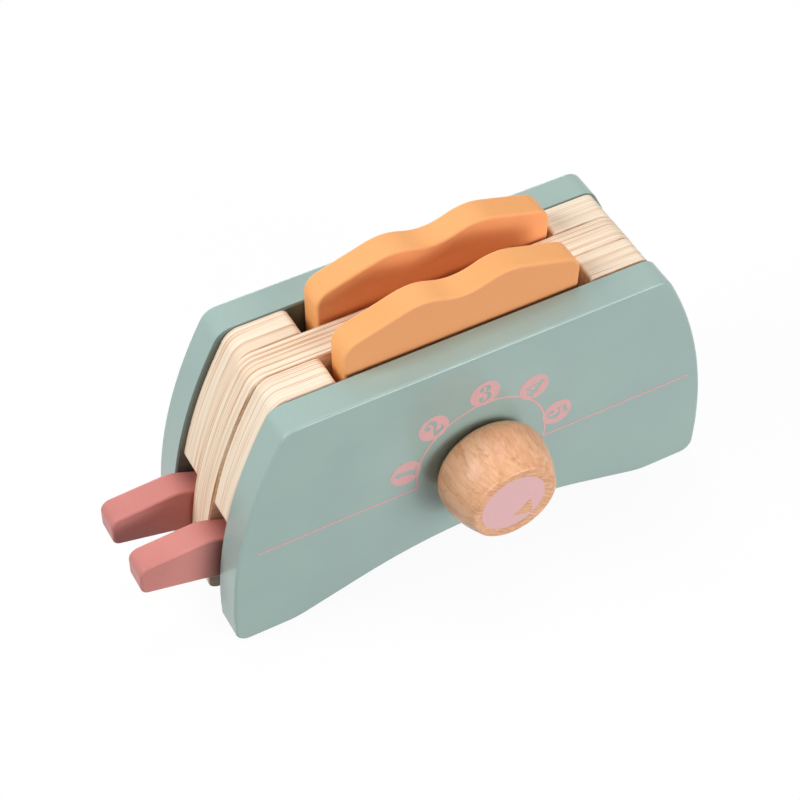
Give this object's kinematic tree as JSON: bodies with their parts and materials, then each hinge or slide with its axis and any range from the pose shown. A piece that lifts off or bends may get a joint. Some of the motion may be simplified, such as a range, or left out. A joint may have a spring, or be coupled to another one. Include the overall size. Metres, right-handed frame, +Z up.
{
  "type": "toy toaster",
  "caption": "Wooden toy toaster of glued boards: two toast slices in lanes, rocking levers that lift them, and a turning knob.",
  "frame": {"origin": "bottom centre of the whole toy's box, on the surface that it stands on; the middle of the boards lies 14.35 mm towards +X and 11.45 mm towards +Y of it, because the levers stick out at -X and the knob at -Y", "axes": "+Z up; +X along the body, away from the levers; +Y from the knob's face to the rear panel"},
  "size_m": [0.2114, 0.0838, 0.1175],
  "materials": {
    "sage_paint": "satin paint on board",
    "plywood": "bare plywood, sanded",
    "toast_paint": "satin paint on board",
    "lever_paint": "satin paint on board",
    "beech": "turned beech, waxed",
    "steel": "zinc plated",
    "felt": "pressed felt"
  },
  "bodies": {
    "body": {"front_panel": "sage_paint", "rear_panel": "sage_paint", "centre_divider": "plywood", "front_left_block": "plywood", "rear_left_block": "plywood", "front_right_block": "plywood", "rear_right_block": "plywood", "lever_pivot_dowel": "beech", "knob_head_washer": "steel", "layer_dowel_1": "beech", "layer_dowel_2": "beech", "layer_dowel_3": "beech", "layer_dowel_4": "beech", "layer_dowel_5": "beech"},
    "front_lever": {"front_lever": "lever_paint"},
    "rear_lever": {"rear_lever": "lever_paint"},
    "front_toast": {"front_toast": "toast_paint"},
    "rear_toast": {"rear_toast": "toast_paint"},
    "knob": {"knob": "beech", "knob_screw": "steel", "knob_felt_washer": "felt"}
  },
  "joints": [
    {"name": "front_lever_hinge", "type": "hinge", "parent": "body", "child": "front_lever", "pos_m": [-0.0487, 0.00045, 0.024], "axis": [0, -1, 0], "range_deg": [0, 18]},
    {"name": "rear_lever_hinge", "type": "hinge", "parent": "body", "child": "rear_lever", "pos_m": [-0.0487, 0.02345, 0.024], "axis": [0, -1, 0], "range_deg": [0, 18]},
    {"name": "front_toast_slide", "type": "slide", "parent": "body", "child": "front_toast", "axis": [0, 0, 1], "range_m": [0, 0.0195]},
    {"name": "rear_toast_slide", "type": "slide", "parent": "body", "child": "rear_toast", "axis": [0, 0, 1], "range_m": [0, 0.0195]},
    {"name": "knob_spin", "type": "hinge", "parent": "body", "child": "knob", "pos_m": [0.0139, -0.02905, 0.0483], "axis": [0, -1, 0], "continuous": true}
  ],
  "couplings": [
    {"joint": "front_toast_slide", "follows": "front_lever_hinge", "m_per_rad": 0.061},
    {"joint": "rear_toast_slide", "follows": "rear_lever_hinge", "m_per_rad": 0.061}
  ]
}
